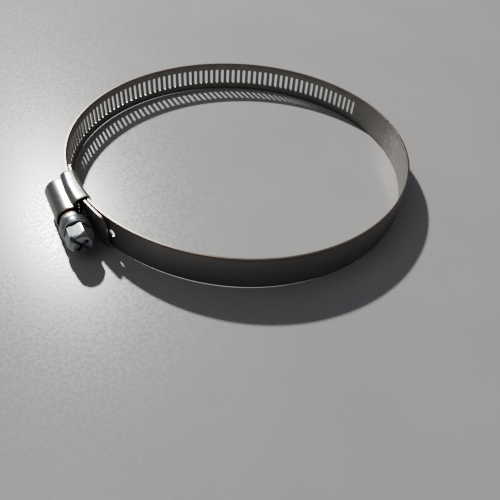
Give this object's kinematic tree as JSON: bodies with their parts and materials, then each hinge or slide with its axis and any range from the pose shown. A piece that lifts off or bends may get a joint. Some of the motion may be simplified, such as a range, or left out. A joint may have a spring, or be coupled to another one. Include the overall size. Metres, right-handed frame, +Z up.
{
  "type": "hose clamp",
  "caption": "Worm-drive clamp that tightens round a 125 mm ventilation duct: slotted steel band, domed housing, and hex screw with a cross slot.",
  "frame": {"origin": "middle of the part's box in plan, at the lowest point of the saddle's lower wing", "axes": "+Z up along the ring's axis, the housing on the -X side, the screw's axis 3 degrees off Y, leaning out from the ring towards its head at the -Y end"},
  "size_m": [0.1428, 0.133, 0.0142],
  "materials": {
    "band_steel": "darkened rolled steel strip, satin, with fine lengthwise scratches and bright sheared edges",
    "housing_zinc": "bright zinc plate, satin, with dirt and brown rust at its cut edges",
    "saddle_zinc": "bright zinc plate, half gloss, with a faint yellow and blue tinge",
    "screw_zinc": "zinc-plated steel with rust in the recess and round the collar"
  },
  "bodies": {
    "housing": {"housing": "housing_zinc", "saddle": "saddle_zinc", "band_fixed_end": "band_steel"},
    "screw": {"worm_screw": "screw_zinc"},
    "band_01": {"band_arc_01": "band_steel"},
    "band_02": {"band_arc_02": "band_steel"},
    "band_03": {"band_arc_03": "band_steel"},
    "band_04": {"band_arc_04": "band_steel"},
    "band_05": {"band_arc_05": "band_steel"},
    "band_06": {"band_arc_06": "band_steel"},
    "band_07": {"band_arc_07": "band_steel"},
    "band_08": {"band_arc_08": "band_steel"},
    "band_09": {"band_arc_09": "band_steel"},
    "band_10": {"band_arc_10": "band_steel"},
    "band_11": {"band_arc_11": "band_steel"},
    "band_free": {"band_free_end": "band_steel"}
  },
  "joints": [
    {"name": "screw_turn", "type": "hinge", "parent": "housing", "child": "screw", "pos_m": [-0.06555, -0.00003, 0.0071], "axis": [0.0523, 0.9986, 0], "range_deg": [0, 2900]},
    {"name": "band_bend_01", "type": "hinge", "parent": "housing", "child": "band_01", "pos_m": [-0.05448, -0.02638, 0.0071], "axis": [0, 0, 1], "range_deg": [0, 2.44]},
    {"name": "band_bend_02", "type": "hinge", "parent": "band_01", "child": "band_02", "pos_m": [-0.03553, -0.05182, 0.0071], "axis": [0, 0, 1], "range_deg": [0, 1.5]},
    {"name": "band_bend_03", "type": "hinge", "parent": "band_02", "child": "band_03", "pos_m": [-0.00652, -0.06522, 0.0071], "axis": [0, 0, 1], "range_deg": [0, 0.8581]},
    {"name": "band_bend_04", "type": "hinge", "parent": "band_03", "child": "band_04", "pos_m": [0.02528, -0.06257, 0.0071], "axis": [0, 0, 1], "range_deg": [0, 0.9552]},
    {"name": "band_bend_05", "type": "hinge", "parent": "band_04", "child": "band_05", "pos_m": [0.05225, -0.04577, 0.0071], "axis": [0, 0, 1], "range_deg": [0, 1.57]},
    {"name": "band_bend_06", "type": "hinge", "parent": "band_05", "child": "band_06", "pos_m": [0.06831, -0.01834, 0.0071], "axis": [0, 0, 1], "range_deg": [0, 2.13]},
    {"name": "band_bend_07", "type": "hinge", "parent": "band_06", "child": "band_07", "pos_m": [0.06962, 0.01347, 0.0071], "axis": [0, 0, 1], "range_deg": [0, 2.13]},
    {"name": "band_bend_08", "type": "hinge", "parent": "band_07", "child": "band_08", "pos_m": [0.05582, 0.04222, 0.0071], "axis": [0, 0, 1], "range_deg": [0, 1.57]},
    {"name": "band_bend_09", "type": "hinge", "parent": "band_08", "child": "band_09", "pos_m": [0.0301, 0.06115, 0.0071], "axis": [0, 0, 1], "range_deg": [0, 0.9515]},
    {"name": "band_bend_10", "type": "hinge", "parent": "band_09", "child": "band_10", "pos_m": [-0.00156, 0.0658, 0.0071], "axis": [0, 0, 1], "range_deg": [0, 0.8544]},
    {"name": "band_bend_11", "type": "hinge", "parent": "band_10", "child": "band_11", "pos_m": [-0.03174, 0.05503, 0.0071], "axis": [0, 0, 1], "range_deg": [0, 1.49]},
    {"name": "band_bend_12", "type": "hinge", "parent": "band_11", "child": "band_free", "pos_m": [-0.05337, 0.0313, 0.0071], "axis": [0, 0, 1], "range_deg": [0, 2.43]}
  ],
  "couplings": [
    {"joint": "screw_turn", "follows": "band_bend_01", "ratio": 1182.3},
    {"joint": "band_bend_02", "follows": "band_bend_01", "ratio": 0.6092},
    {"joint": "band_bend_03", "follows": "band_bend_01", "ratio": 0.34406},
    {"joint": "band_bend_04", "follows": "band_bend_01", "ratio": 0.38391},
    {"joint": "band_bend_05", "follows": "band_bend_01", "ratio": 0.63831},
    {"joint": "band_bend_06", "follows": "band_bend_01", "ratio": 0.86743},
    {"joint": "band_bend_07", "follows": "band_bend_01", "ratio": 0.8682},
    {"joint": "band_bend_08", "follows": "band_bend_01", "ratio": 0.63678},
    {"joint": "band_bend_09", "follows": "band_bend_01", "ratio": 0.38238},
    {"joint": "band_bend_10", "follows": "band_bend_01", "ratio": 0.34253},
    {"joint": "band_bend_11", "follows": "band_bend_01", "ratio": 0.6023},
    {"joint": "band_bend_12", "follows": "band_bend_01", "ratio": 0.98774}
  ]
}
